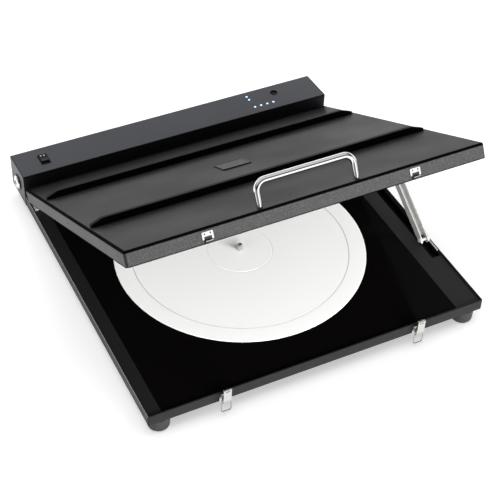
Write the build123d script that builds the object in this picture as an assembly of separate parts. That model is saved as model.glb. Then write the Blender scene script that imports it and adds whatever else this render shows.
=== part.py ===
from build123d import *
from math import atan2, cos, degrees, hypot, radians, sin
import os

os.makedirs("parts", exist_ok=True)

# Heated press that flattens warped records. Millimetres. X to the right, Y to the back, Z up.
# While it is built: x = 0 at the base's middle, y = 0 at its front face, z = 0 on the floor.
# Every piece is drawn in its place. The lid's pieces are drawn closed and then opened.

# ---- clearances ----
run_gap = 0.3            # between pieces that move past each other
shaft_gap = 0.05         # radial, shaft in its hole
seam = 0.2               # between panels that lie side by side

# ---- base ----
base_width = 444.0
base_depth = 466.0
base_height = 15.0
foot_height = 19.0
rim_width = 2.4
pan_floor = 1.5
pan_corner = 2.5
deck_drop = 2.0          # deck surface below the rim
deck_thick = 3.0
left_margin = 18.0       # base side to the deck panel
right_margin = 36.0
frame_width = 10.0
heater_diameter = 300.0
heater_thick = 3.5
disc_diameter = 320.0
disc_thick = 1.0
groove_diameters = (276.0, 82.4)
groove_width = 0.8
groove_depth = 0.3
spindle_diameter = 7.1
spindle_rise = 9.5
spindle_dome = 2.2
spindle_shank = 6.0      # through the disc and the deck
spindle_relief = 0.2     # undercut above the disc

foot_top_diameter = 26.5
foot_bottom_diameter = 22.0
foot_edge = 1.6
foot_screw_diameter = 9.0
foot_screw_depth = 9.0
foot_inset = 18.0        # foot's middle from the base's sides and back
foot_front_y = 14.0

# ---- control housing across the back ----
housing_depth = 53.0
housing_proud = 0.5      # side plates past the base sides
housing_rise = 33.0      # front edge above the rim
housing_fall = 2.5       # the top slopes down to the back by this much
cover_sheet = 1.2
cover_edge = 1.0
cover_tuck = 4.0         # front plate reaches this far below the rim

switch_side = 37.6       # its middle from the base's left side
switch_back = 26.5       # and from its back
switch_width = 12.9
switch_length = 21.2
switch_border = 1.1
switch_proud = 0.8
switch_depth = 14.0
rocker_pivot = 3.5       # below the panel
rocker_rise = 1.6        # above the bezel in the middle
rocker_tilt = 6.0        # degrees either side of level
rocker_pin = 2.0
rocker_floor = 1.5       # key's flat underside below its pin
rocker_dip = 0.9         # saddle

button_side = 62.4       # its middle from the base's right side
button_back = 18.0
button_diameter = 8.8
button_ring = 0.9
button_recess = 0.6
button_stroke = 1.5
button_depth = 8.0
button_floor = 1.0
button_edge = 0.5
lamp_diameter = 3.0
lamp_proud = 0.6
lamp_depth = 4.0
lamp_edge = 0.5
lamp_side = 101.7        # first lamp of the row, and the column, from the base's right side
lamp_row_back = 38.4
lamp_row_pitch = 9.5
lamp_row_count = 4
lamp_column_back = (28.7, 19.2, 11.3)

inlet_back = 28.0        # its middle from the base's back
inlet_rise = 7.3         # above the rim
inlet_flange = 22.0
inlet_proud = 3.0
inlet_body = 16.0
inlet_bore = 12.0
inlet_length = 12.0
inlet_edge = 1.0

# ---- lid, closed ----
lid_gap = 1.8            # lid edge above the rim when closed
lid_height = 18.4
lid_front = 0.3
lid_behind = 5.0         # in front of the housing
lid_sheet = 1.5
lid_edge = 2.5
lid_corner = 4.0
hinge_inset = 8.4        # axis in front of the lid's rear edge
hinge_rise = 10.55       # above the rim
open_angle = 28.2

platen_thick = 3.0
platen_below = 1.0       # under the lid's edge
platen_front = 2.0       # behind the lid's front plate
platen_rear = 11.0       # in front of the hinge axis
label_diameter = 104.0
label_recess = 1.2
well_diameter = 16.0     # room for the spindle
core_inset = 14.0
core_gap = 18.0          # between the two boards, along the spindle's row

rib_inset = 5.0          # from the lid's sides
rib_width = 8.0
rib_height = 8.0
rib_bevel = 15.0
rib_tip = 3.0
front_rib_back = 134.0   # rear face of the front rib
rear_rib_inset = 87.0    # rear face of the rear rib in front of the lid's rear edge
handle_pitch = 120.0
handle_rod = 7.5
handle_rise = 33.0
handle_bend = 12.0
handle_y = 10.5
stud_diameter = 5.0
stud_length = 7.0
nut_across = 9.0
nut_height = 3.5
plate_size = (38.0, 34.0)
plate_thick = 0.8
plate_corner = 1.0
plate_shift = 2.5        # behind the middle between the ribs

# ---- hinges at both ends of the lid's rear edge ----
hinge_side = 9.4         # its middle from the base's side
hinge_width = 13.0
hinge_ear = 2.0
hinge_eye = 5.0
hinge_pin = 4.0
hinge_foot = 16.0
knuckle_radius = 4.2
leaf_thick = 2.0
leaf_length = 24.0

# ---- stay on the right side ----
slot_side = 9.8          # its middle from the base's right side
slot_width = 12.4
slot_start = 32.0        # in front of the pivot
slot_end_room = 4.0
liner_sheet = 0.8
liner_drop = 12.0        # floor of the slot below the rim
stay_back = 275.6        # pivot in front of the lid's hinge
stay_rise = 1.0          # pivot above the rim
ear_thick = 1.0
ear_start = 25.0         # in front of the pivot
ear_back = 7.0           # behind the pivot
ear_line = 2.0           # straight edge of the outer ear above the rim
arm_below = 6.0          # web under the pivot line
arm_above = 5.0          # flanges over the pivot line
arm_sheet = 1.2
arm_past = 9.0           # beyond the glide with the lid open
web_start = 7.0
arm_tip = 4.4            # radius of its far corner
stay_pin = 4.0
stay_head = 5.2
stay_head_thick = 0.9
glide_back = 165.0       # in front of the lid's hinge
glide_rise = 2.5
glide_diameter = 7.0
stem_thick = 2.0
stem_width = 6.0

# ---- draw latches on the front: u = out from the front face, v = up from the rim ----
latch_side = 94.0        # its middle from the base's side
bracket_width = 13.0
bracket_sheet = 1.0
bracket_low = -14.9
bracket_high = -3.5
bracket_corner = 1.2
pivot_u = 5.2
pivot_v = -11.5
eye_radius = 2.4
lug_spacing = 6.2        # over the bracket's two ears
latch_pin_diameter = 2.0
lever_width = 10.0
lever_sheet = 1.0
lever_out = 3.6          # plate's outer face beyond the pivot
lever_top = 10.0
lever_start = 3.2        # plate starts this far above the pivot
lever_lip = 3.6
lever_edge = 0.9
lever_slot = (5.6, 1.2)
lever_throw = 170.0
cheek_taper = 8.0
wire = 1.5
bail_rise = 3.4          # bail hole above the lever pivot
bail_out = 0.3
bail_bend = 2.2
bail_elbow = 0.9         # where its ends turn into the cheeks
strike_width = 13.5
strike_corner = 0.8
strike_high = 4.5        # top edge below the lid's top
strike_low = 14.0
tongue_width = 7.0
hook_low = 17.7          # underside of the hook below the lid's top
hook_inner = 1.3
hook_lip = 1.2

# ---- worked out ----
rim_z = foot_height + base_height
floor_z = foot_height + pan_floor
deck_z = rim_z - deck_drop
under_deck = deck_z - deck_thick
disc_z = deck_z + disc_thick
half_width = base_width / 2
inner_x = half_width - rim_width
deck_left = left_margin - half_width
deck_right = half_width - right_margin
housing_front = base_depth - housing_depth
deck_back = housing_front - seam
disc_x, disc_y = (deck_left + deck_right) / 2, housing_front / 2
foot_x, foot_rear_y = half_width - foot_inset, base_depth - foot_inset
switch_x, switch_y = switch_side - half_width, base_depth - switch_back
button_x, button_y = half_width - button_side, base_depth - button_back
inlet_y = base_depth - inlet_back
lid_rear = housing_front - lid_behind
hinge_x, hinge_y = half_width - hinge_side, lid_rear - hinge_inset
rib_length = base_width - 2 * rib_inset
rib_backs = (front_rib_back, lid_rear - rear_rib_inset)
plate_y = (rib_backs[0] + rib_backs[1] - rib_width) / 2 + plate_shift
slot_x, stay_y, glide_y = half_width - slot_side, hinge_y - stay_back, hinge_y - glide_back
slot_front, ear_front = stay_y - slot_start, stay_y - ear_start
latch_x = half_width - latch_side
housing_x = half_width + housing_proud
housing_top = rim_z + housing_rise
slope = degrees(atan2(housing_fall, base_depth - housing_front))
lid_z = rim_z + lid_gap
lid_top = lid_z + lid_height
hinge_z = rim_z + hinge_rise
stay_z = rim_z + stay_rise
hinge_axis = Axis((0, hinge_y, hinge_z), (1, 0, 0))
arm_width = slot_width - 2 * ear_thick - 2 * run_gap
lamp_x, lamp_row_y = half_width - lamp_side, base_depth - lamp_row_back
lamp_places = [(lamp_x + i * lamp_row_pitch, lamp_row_y) for i in range(lamp_row_count)]
lamp_places += [(lamp_x, base_depth - back) for back in lamp_column_back]


def block(x0, x1, y0, y1, z0, z1):
    """Box between two corners."""
    return Pos((x0 + x1) / 2, (y0 + y1) / 2, (z0 + z1) / 2) * Box(x1 - x0, y1 - y0, z1 - z0)


def across(radius, x0, x1, y, z):
    """Cylinder along X."""
    return Pos((x0 + x1) / 2, y, z) * Rot(0, 90, 0) * Cylinder(radius, x1 - x0)


def upright(radius, x, y, z0, z1):
    """Cylinder along Z."""
    return Pos(x, y, (z0 + z1) / 2) * Cylinder(radius, z1 - z0)


def side_profile(points, x0, x1):
    """Closed outline given as (y, z) points, extruded along X."""
    face = make_face(Polyline(*[(0, y, z) for y, z in points], close=True))
    return extrude(face, x1 - x0, dir=(1, 0, 0)).moved(Pos(x0, 0, 0))


def opened(shape):
    """A lid piece turned from closed to the open rest position."""
    return shape.rotate(hinge_axis, -open_angle)


def opened_point(y, z):
    """Where a (y, z) point of the closed lid lies with the lid open."""
    c, s = cos(radians(open_angle)), sin(radians(open_angle))
    return hinge_y + (y - hinge_y) * c + (z - hinge_z) * s, hinge_z - (y - hinge_y) * s + (z - hinge_z) * c


def on_panel(x, y):
    """Place on the housing's sloping top, Z along its normal."""
    back = y - housing_front
    return Pos(x, y, housing_top - back * housing_fall / (base_depth - housing_front)) * Rot(-slope, 0, 0)


# ---- stay geometry: the glide's place sets the arm's angle and length ----
glide_z = rim_z + glide_rise
open_glide = opened_point(glide_y, glide_z)
arm_angle = degrees(atan2(open_glide[1] - stay_z, open_glide[0] - stay_y))
arm_closed_angle = degrees(atan2(glide_z - stay_z, glide_y - stay_y))
arm_reach = hypot(open_glide[0] - stay_y, open_glide[1] - stay_z) + arm_past
slot_back = stay_y + arm_reach + slot_end_room

# ---- latch geometry: the wire reaches from the turned lever to the closed lid's hook ----
bail_u, bail_v = pivot_u + bail_out, pivot_v + bail_rise
throw = radians(lever_throw)
turned_u = pivot_u + bail_out * cos(throw) + bail_rise * sin(throw)
turned_v = pivot_v - bail_out * sin(throw) + bail_rise * cos(throw)
hook_u = bracket_sheet + hook_inner - lid_front
hook_v = lid_gap + lid_height - hook_low + bracket_sheet + hook_inner
bail_length = hypot(hook_u - turned_u, hook_v - turned_v)
# The hanging wire swings outward and up past the lever's tip while the lever is turned down.
bail_turn = 180 + degrees(atan2(turned_u - hook_u, hook_v - turned_v)) + lever_throw


def base_pan():
    """Sheet tray with a flat rim, stepped in at the back where the housing's side plates go."""
    step = cover_sheet - housing_proud + seam
    back = base_depth - cover_sheet - seam
    body = block(-half_width, half_width, 0, housing_front - seam, foot_height, rim_z)
    body = fillet(body.edges().filter_by(Axis.Z).group_by(Axis.Y)[0], pan_corner)
    half = half_width - step
    body += block(-half, half, housing_front - seam, back, foot_height, rim_z)
    body -= block(-inner_x, inner_x, rim_width, back - rim_width, floor_z, rim_z)
    hole = inlet_body / 2 + seam
    return body - across(hole, -housing_x, -inner_x, inlet_y, rim_z + inlet_rise)


def deck_frame():
    """Ledge of seven bars inside the pan that the deck and the side strips lie on."""
    y0, y1, w, x = rim_width, deck_back, frame_width, inner_x
    ends = (slot_front - liner_sheet - seam, slot_back + liner_sheet + seam)
    spans = [(-x, x, y0, y0 + w), (-x, x, y1 - w, y1), (-x, w - x, y0 + w, y1 - w),
             (x - w, x, y0 + w, ends[0]), (x - w, x, ends[1], y1 - w)]
    spans += [(middle - w / 2, middle + w / 2, y0 + w, y1 - w) for middle in (deck_left, deck_right)]
    return Compound([block(*span, floor_z, under_deck) for span in spans])


def insulation_pad():
    """Board under the heating plate."""
    gap = frame_width / 2 + seam
    return block(deck_left + gap, deck_right - gap, rim_width + frame_width + seam,
                 deck_back - frame_width - seam, floor_z, under_deck - heater_thick)


def heater_plate():
    """Round heating plate against the underside of the deck."""
    return upright(heater_diameter / 2, disc_x, disc_y, under_deck - heater_thick, under_deck)


def deck_panel():
    """Gloss panel that carries the disc."""
    panel = block(deck_left + seam / 2, deck_right - seam / 2, rim_width, deck_back, under_deck, deck_z)
    return panel - upright(spindle_shank / 2 + shaft_gap, disc_x, disc_y, under_deck, deck_z)


def strip_left():
    return block(-inner_x, deck_left - seam / 2, rim_width, deck_back, under_deck, deck_z)


def strip_right():
    """Strip with the long slot that the stay folds into."""
    strip = block(deck_right + seam / 2, inner_x, rim_width, deck_back, under_deck, deck_z)
    half = slot_width / 2
    return strip - block(slot_x - half, slot_x + half, slot_front, slot_back, under_deck, deck_z)


def stay_liner():
    """Black sheet channel under the slot."""
    half = slot_width / 2
    t, low = liner_sheet, rim_z - liner_drop
    body = block(slot_x - half - t, min(slot_x + half + t, inner_x), slot_front - t, slot_back + t,
                 floor_z, under_deck)
    return body - block(slot_x - half, slot_x + half, slot_front, slot_back, low, under_deck)


def platter_disc():
    """Thin white disc with a fine ring at the record's edge and one round its label."""
    disc = upright(disc_diameter / 2, disc_x, disc_y, deck_z, disc_z)
    disc -= upright(spindle_shank / 2 + shaft_gap, disc_x, disc_y, deck_z, disc_z)
    for diameter in groove_diameters:
        ring = upright(diameter / 2 + groove_width / 2, disc_x, disc_y, disc_z - groove_depth, disc_z)
        disc -= ring - upright(diameter / 2 - groove_width / 2, disc_x, disc_y, disc_z - groove_depth, disc_z)
    return disc


def spindle():
    """Record spindle with a domed end, on a thinner shank that stands on the heating plate."""
    start = disc_z + spindle_relief
    rod = upright(spindle_diameter / 2, disc_x, disc_y, start, disc_z + spindle_rise)
    rod = fillet(rod.edges().group_by(Axis.Z)[-1], spindle_dome)
    return rod + upright(spindle_shank / 2, disc_x, disc_y, under_deck, start)


def foot(x, y):
    """Tapered rubber foot with a bevelled tread and a screw recess."""
    rt, rb = foot_top_diameter / 2, foot_bottom_diameter / 2
    body = Pos(x, y, foot_height / 2) * Cone(rb, rt, foot_height)
    body = chamfer(body.edges().group_by(Axis.Z)[0], foot_edge)
    return body - upright(foot_screw_diameter / 2, x, y, 0, foot_screw_depth)


def housing_cover():
    """Folded cover: front, sloping top, back and side plates that reach down over the pan."""
    t = cover_sheet
    lower = housing_top - housing_fall
    outer = side_profile([(housing_front, foot_height), (housing_front, housing_top),
                          (base_depth, lower), (base_depth, foot_height)], -housing_x, housing_x)
    outer = fillet(outer.edges().filter_by(Axis.X).group_by(Axis.Z)[1:], cover_edge)
    fall = housing_fall * t / (base_depth - housing_front)
    inner = side_profile([(housing_front + t, foot_height), (housing_front + t, housing_top - t - fall),
                          (base_depth - t, lower - t + fall), (base_depth - t, foot_height)],
                         t - housing_x, housing_x - t)
    cover = outer - inner
    x = housing_x - t
    cover -= block(-x, x, housing_front, housing_front + t, foot_height, rim_z - cover_tuck)
    for side in (-1, 1):
        x0, x1 = sorted((side * (inner_x - seam), side * x))
        cover -= block(x0, x1, housing_front, housing_front + t, foot_height, rim_z + seam)
    cover -= across(inlet_body / 2, -housing_x, t - housing_x, inlet_y, rim_z + inlet_rise)
    body_w, body_l = switch_body()
    cover -= on_panel(switch_x, switch_y) * Box(body_w, body_l, 4 * t)
    cover -= on_panel(button_x, button_y) * Cylinder(button_diameter / 2 + button_ring, 4 * t)
    for x, y in lamp_places:
        cover -= on_panel(x, y) * Cylinder(lamp_diameter / 2, 4 * t)
    return cover


def switch_body():
    """Width and length of the switch's body through the panel."""
    return switch_width - switch_border, switch_length - switch_border


def rocker_hole():
    """Width and length of the bezel's opening."""
    return switch_width - 2 * switch_border, switch_length - 2 * switch_border


def switch_frame():
    """Switch bezel and body, open on top, with a pin that the rocker turns on."""
    body_w, body_l = switch_body()
    hole_w, hole_l = rocker_hole()
    flange = Pos(0, 0, switch_proud / 2) * Box(switch_width, switch_length, switch_proud)
    flange = fillet(flange.edges().filter_by(Axis.Z), switch_border / 2)
    body = flange + Pos(0, 0, -switch_depth / 2) * Box(body_w, body_l, switch_depth)
    depth = switch_depth - switch_border
    body -= Pos(0, 0, (switch_proud - depth) / 2) * Box(hole_w, hole_l, switch_proud + depth)
    pin = Pos(0, 0, -rocker_pivot) * Rot(0, 90, 0) * Cylinder(rocker_pin / 2, hole_w)
    return on_panel(switch_x, switch_y) * (body + pin)


def rocker():
    """Rocker key: shallow saddle top and ends that are arcs about its pin."""
    hole_w, hole_l = rocker_hole()
    reach = hole_l / 2 - run_gap
    key = Rot(0, 90, 0) * Cylinder(reach, hole_w - 2 * run_gap)
    high = rocker_pivot + switch_proud + rocker_rise
    low = rocker_floor + rocker_pin / 2
    key &= Pos(0, 0, (high - low) / 2) * Box(hole_w, hole_l, high + low)
    bow = (reach**2 + rocker_dip**2) / (2 * rocker_dip)
    key -= Pos(0, 0, high + bow - rocker_dip) * Rot(0, 90, 0) * Cylinder(bow, hole_w)
    key -= Rot(0, 90, 0) * Cylinder(rocker_pin / 2 + shaft_gap, hole_w)
    return on_panel(switch_x, switch_y) * Pos(0, 0, -rocker_pivot) * Rot(-rocker_tilt, 0, 0) * key


def button_frame():
    """Ring and sleeve that the push button slides in."""
    r = button_diameter / 2
    ring = Pos(0, 0, -button_depth / 2) * Cylinder(r + button_ring, button_depth)
    ring += Pos(0, 0, cover_sheet / 4) * Cylinder(r + button_ring, cover_sheet / 2)
    floor = button_depth - button_floor
    ring -= Pos(0, 0, (cover_sheet - floor) / 2) * Cylinder(r, cover_sheet + floor)
    return on_panel(button_x, button_y) * ring


def start_button():
    """Round push button, its face just below the panel."""
    r = button_diameter / 2 - run_gap / 2
    long = button_depth - button_floor - button_recess - button_stroke - run_gap
    cap = Pos(0, 0, -button_recess - long / 2) * Cylinder(r, long)
    cap = chamfer(cap.edges().group_by(Axis.Z)[-1], button_edge)
    return on_panel(button_x, button_y) * cap


def lamp(x, y):
    """Small indicator lens in the panel, its edge bevelled."""
    lens = Pos(0, 0, (lamp_proud - lamp_depth) / 2) * Cylinder(lamp_diameter / 2, lamp_proud + lamp_depth)
    lens = chamfer(lens.edges().group_by(Axis.Z)[-1], lamp_edge)
    return on_panel(x, y) * lens


def inlet_bush():
    """Bright round bush in the left side plate."""
    z = rim_z + inlet_rise
    bush = across(inlet_flange / 2, -housing_x - inlet_proud, -housing_x, inlet_y, z)
    bush = chamfer(bush.edges().filter_by(GeomType.CIRCLE).group_by(Axis.X)[0], inlet_edge)
    bush += across(inlet_body / 2, -housing_x, inlet_length - housing_x, inlet_y, z)
    return bush - across(inlet_bore / 2, -housing_x - inlet_proud, inlet_length - housing_x, inlet_y, z)


def inlet_core():
    """Dark insert deep in the bush, with the hole for a lead."""
    z = rim_z + inlet_rise
    core = across(inlet_bore / 2, -housing_x, inlet_length - housing_x, inlet_y, z)
    return core - across(inlet_bore / 4, -housing_x, inlet_length - housing_x, inlet_y, z)


def hinge_bracket(side):
    """Base half of a hinge: foot plate and two ears round the pin."""
    x0, x1 = hinge_x - hinge_width / 2, hinge_x + hinge_width / 2
    back = hinge_y + hinge_eye
    body = block(x0, x1, back - hinge_foot - hinge_eye, back, deck_z, deck_z + hinge_ear)
    for x in (x0, x1 - hinge_ear):
        body += across(hinge_eye, x, x + hinge_ear, hinge_y, hinge_z)
        body += block(x, x + hinge_ear, hinge_y - hinge_eye, back, deck_z, hinge_z)
    body -= across(hinge_pin / 2 + shaft_gap, x0, x1, hinge_y, hinge_z)
    return mirrored(body, side)


def mirrored(shape, side):
    """Shape as drawn for the right side, or its mirror image on the left."""
    return shape if side > 0 else mirror(shape, about=Plane.YZ)


def hinge_pin_rod(side):
    x0, x1 = hinge_x - hinge_width / 2, hinge_x + hinge_width / 2
    return mirrored(across(hinge_pin / 2, x0, x1, hinge_y, hinge_z), side)


def hinge_leaf(side):
    """Lid half of a hinge: knuckle between the ears and a leaf up to the lid's skin."""
    half = hinge_width / 2 - hinge_ear - run_gap
    x0, x1 = hinge_x - half, hinge_x + half
    skin = lid_top - lid_sheet
    body = across(knuckle_radius, x0, x1, hinge_y, hinge_z)
    body += block(x0, x1, hinge_y - knuckle_radius, hinge_y, hinge_z, skin)
    body += block(x0, x1, hinge_y - knuckle_radius - leaf_length, hinge_y, skin - leaf_thick, skin)
    body -= across(hinge_pin / 2 + shaft_gap, x0, x1, hinge_y, hinge_z)
    return opened(mirrored(body, side))


def lid_shell():
    """Folded lid: rounded top edges, short rear plate, side plates rounded about the hinge."""
    half, t = half_width, lid_sheet
    body = block(-half, half, lid_front, lid_rear, lid_z, lid_top)
    body = fillet(body.edges().filter_by(Axis.Z), lid_corner)
    body = fillet(body.faces().sort_by(Axis.Z)[-1].edges(), lid_edge)
    hollow = block(t - half, half - t, lid_front + t, lid_rear - t, lid_z, lid_top - t)
    hollow = fillet(hollow.edges().filter_by(Axis.Z), lid_corner - t)
    hollow = fillet(hollow.faces().sort_by(Axis.Z)[-1].edges(), lid_edge - t)
    body -= hollow
    corner = block(-half, half, hinge_y, lid_rear, lid_z, hinge_z)
    body -= corner - across(hinge_z - lid_z, -half, half, hinge_y, hinge_z)
    body -= block(t - half, half - t, hinge_y, lid_rear, lid_z, hinge_z)
    for x in (-handle_pitch / 2, handle_pitch / 2):
        body -= upright(stud_diameter / 2 + shaft_gap, x, handle_y, lid_top - t, lid_top)
    return opened(body)


def platen():
    """Upper pressing plate with a shallow label recess and room for the spindle."""
    z0 = lid_z - platen_below
    plate = block(deck_left, deck_right, lid_front + lid_sheet + platen_front, hinge_y - platen_rear,
                  z0, z0 + platen_thick)
    plate -= upright(label_diameter / 2, disc_x, disc_y, z0, z0 + label_recess)
    return opened(plate - upright(well_diameter / 2, disc_x, disc_y, z0, z0 + platen_thick))


def platen_core(rear):
    """Insulating board between the plate and the lid's skin; two of them leave a row for the spindle."""
    z0, z1 = lid_z - platen_below + platen_thick, lid_top - lid_sheet
    if rear:
        y0, y1 = disc_y + core_gap / 2, hinge_y - platen_rear - core_inset
    else:
        y0, y1 = handle_y + core_inset, disc_y - core_gap / 2
    return opened(block(deck_left + core_inset, deck_right - core_inset, y0, y1, z0, z1))


def rib(back):
    """Black bar across the lid with bevelled ends."""
    half, high = rib_length / 2, lid_top + rib_height
    tip = lid_top + rib_tip
    outline = Polyline((-half, 0, lid_top), (-half, 0, tip), (rib_bevel - half, 0, high),
                       (half - rib_bevel, 0, high), (half, 0, tip), (half, 0, lid_top), close=True)
    return opened(extrude(make_face(outline), rib_width, dir=(0, -1, 0)).moved(Pos(0, back, 0)))


def handle():
    """Bent rod with studs that go through the lid's skin."""
    half, top = handle_pitch / 2, lid_top + handle_rise - handle_rod / 2
    path = FilletPolyline((-half, handle_y, lid_top), (-half, handle_y, top), (half, handle_y, top),
                          (half, handle_y, lid_top), radius=handle_bend)
    rod = sweep(Plane(origin=(-half, handle_y, lid_top), z_dir=(0, 0, 1)) * Circle(handle_rod / 2), path)
    for x in (-half, half):
        rod += upright(stud_diameter / 2, x, handle_y, lid_top - lid_sheet - stud_length, lid_top)
    return opened(rod)


def handle_nut(side):
    """Hexagon nut under the skin."""
    top = lid_top - lid_sheet
    nut = extrude(Plane.XY * RegularPolygon(nut_across / 2, 6, major_radius=False), nut_height)
    nut -= Cylinder(stud_diameter / 2 + shaft_gap, 4 * nut_height)
    return opened(Pos(side * handle_pitch / 2, handle_y, top - nut_height) * nut)


def badge_plate():
    """Small bare metal plate on the lid."""
    plate = Pos(0, plate_y, lid_top + plate_thick / 2) * Box(*plate_size, plate_thick)
    return opened(fillet(plate.edges().filter_by(Axis.Z), plate_corner))


def strike(side):
    """Strike plate on the lid's front with a tongue rolled outward into a hook."""
    t, x = bracket_sheet, side * latch_x
    face = lid_front
    plate = block(x - strike_width / 2, x + strike_width / 2, face - t, face,
                  lid_top - strike_low, lid_top - strike_high)
    plate = fillet(plate.edges().filter_by(Axis.Y), strike_corner)
    centre_y, centre_z = face - t - hook_inner, lid_top - hook_low + t + hook_inner
    tongue = tongue_width / 2
    roll = across(hook_inner + t, x - tongue, x + tongue, centre_y, centre_z)
    roll -= across(hook_inner, x - tongue, x + tongue, centre_y, centre_z)
    roll -= block(x - tongue, x + tongue, centre_y - 3 * t - hook_inner, face, centre_z, lid_top)
    plate += roll + block(x - tongue, x + tongue, face - t, face, centre_z, lid_top - strike_low)
    plate += block(x - tongue, x + tongue, face - 2 * t - 2 * hook_inner, face - t - 2 * hook_inner,
                   centre_z, centre_z + hook_lip)
    return opened(plate)


def stay_bracket():
    """Steel bracket in the slot: floor plate, long outer ear and short inner ear."""
    x0, x1 = slot_x - slot_width / 2, slot_x + slot_width / 2
    low = rim_z - liner_drop
    eye = arm_above
    back = stay_y + ear_back
    body = block(x0, x1, ear_front, back, low, low + ear_thick)
    body += block(x1 - ear_thick, x1, ear_front, back, low, rim_z + ear_line)
    body += block(x0, x0 + ear_thick, stay_y - eye, stay_y + eye, low, stay_z)
    for x in (x0, x1 - ear_thick):
        body += across(eye, x, x + ear_thick, stay_y, stay_z)
    return body - across(stay_pin / 2 + shaft_gap, x0, x1, stay_y, stay_z)


def stay_pivot():
    """Pin through both ears with a flat head at each end."""
    x0, x1 = slot_x - slot_width / 2, slot_x + slot_width / 2
    pin = across(stay_pin / 2, x0, x1, stay_y, stay_z)
    pin += across(stay_head / 2, x0 - stay_head_thick, x0, stay_y, stay_z)
    return pin + across(stay_head / 2, x1, x1 + stay_head_thick, stay_y, stay_z)


def stay_arm():
    """Channel open to the top and front, with a round eye at the pivot and a rounded far end."""
    half, t = arm_width / 2, arm_sheet
    tall = arm_above + arm_below
    body = block(-half, half, 0, arm_reach, -arm_below, arm_above)
    ends = body.edges().filter_by(Axis.X).group_by(Axis.Y)[-1]
    body = fillet(ends, arm_tip)
    body += across(arm_above, -half, half, 0, 0)
    body -= block(-half, half, -tall, web_start, -tall, -arm_above)
    body -= block(t - half, half - t, -tall, arm_reach, t - arm_below, tall)
    body -= block(t - half, half - t, -tall, web_start, -tall, tall)
    body -= across(stay_pin / 2 + shaft_gap, -half, half, 0, 0)
    return Pos(slot_x, stay_y, stay_z) * Rot(arm_angle, 0, 0) * body


def stay_hanger():
    """Lid bracket: a foot under the skin and a stem down into the arm's channel."""
    skin = lid_top - lid_sheet
    x0, x1 = slot_x - stem_thick / 2, slot_x + stem_thick / 2
    half = stem_width / 2
    body = block(x0, x1, glide_y - half, glide_y + half, glide_z, skin)
    body += across(half, x0, x1, glide_y, glide_z)
    foot_half = arm_width / 2
    body += block(slot_x - foot_half, slot_x + foot_half, glide_y - half, glide_y + 3 * half,
                  skin - stem_thick, skin)
    return opened(body)


def stay_glide():
    """Nylon glide on the stem's end, a loose fit in the channel."""
    half = arm_width / 2 - arm_sheet - run_gap
    glide = across(glide_diameter / 2, slot_x - half, slot_x + half, glide_y, glide_z)
    slot = block(slot_x - stem_thick / 2, slot_x + stem_thick / 2, glide_y - glide_diameter,
                 glide_y + glide_diameter, glide_z - glide_diameter, glide_z + glide_diameter)
    return opened(glide - slot)


def front_block(x0, x1, u0, u1, v0, v1):
    """Box on the base's front face, in u (outward) and v (above the rim)."""
    return block(x0, x1, -u1, -u0, rim_z + v0, rim_z + v1)


def front_across(radius, x0, x1, u, v):
    return across(radius, x0, x1, -u, rim_z + v)


def latch_bracket(side):
    """Riveted plate with two ears for the lever's pin."""
    x, t = side * latch_x, bracket_sheet
    plate = front_block(x - bracket_width / 2, x + bracket_width / 2, 0, t, bracket_low, bracket_high)
    body = fillet(plate.edges().filter_by(Axis.Y), bracket_corner)
    for inner in (-lug_spacing / 2, lug_spacing / 2 - t):
        body += front_block(x + inner, x + inner + t, 0, pivot_u, pivot_v - eye_radius, pivot_v + eye_radius)
        body += front_across(eye_radius, x + inner, x + inner + t, pivot_u, pivot_v)
    half = lug_spacing / 2
    return body - front_across(latch_pin_diameter / 2 + shaft_gap, x - half, x + half, pivot_u, pivot_v)


def latch_pin(side):
    x, half = side * latch_x, lever_width / 2
    return front_across(latch_pin_diameter / 2, x - half, x + half, pivot_u, pivot_v)


def lever(side):
    """Pressed lever: outer plate, two cheeks down to the pivot, lip turned back at the top."""
    x, half, t = side * latch_x, lever_width / 2, lever_sheet
    out = pivot_u + lever_out
    start = pivot_v + lever_start
    body = front_block(x - half, x + half, out - t, out, start, lever_top)
    body += front_block(x - half, x + half, out - lever_lip, out, lever_top - t, lever_top)
    body = fillet(body.edges().filter_by(Axis.X).group_by(Axis.Y)[0].sort_by(Axis.Z)[-1], lever_edge)
    slot_long, slot_high = lever_slot
    v = lever_top - 2 * t
    body -= front_block(x - slot_long / 2, x + slot_long / 2, out - t, out, v - slot_high, v)
    rear = eye_radius
    outline = [(rear - pivot_u, rim_z + pivot_v), (rear - pivot_u, rim_z + start + eye_radius),
               (t - out, rim_z + start + cheek_taper + eye_radius), (-out, rim_z + start + cheek_taper),
               (-out, rim_z + start), (-pivot_u - rear, rim_z + pivot_v)]
    for inner in (-half, half - t):
        cheek = side_profile(outline, x + inner, x + inner + t)
        cheek += front_across(eye_radius, x + inner, x + inner + t, pivot_u, pivot_v)
        body += cheek
    body -= front_across(latch_pin_diameter / 2 + shaft_gap, x - half, x + half, pivot_u, pivot_v)
    return body - front_across(wire / 2 + shaft_gap, x - half, x + half, bail_u, bail_v)


def bail(side):
    """Wire loop whose ends turn in the lever's cheeks."""
    x = side * latch_x
    leg = lever_width / 2 + run_gap + wire / 2
    end = lever_width / 2 - lever_sheet
    y, top, low = -bail_u, rim_z + bail_v, rim_z + bail_v - bail_length
    corners = [(x - end, y, top), (x - leg, y, top), (x - leg, y, low), (x + leg, y, low), (x + leg, y, top)]
    path = FilletPolyline(*corners, (x + end, y, top), radius=[bail_elbow, bail_bend, bail_bend, bail_elbow])
    return sweep(Plane(origin=(x - end, y, top), z_dir=(-1, 0, 0)) * Circle(wire / 2), path)


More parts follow.
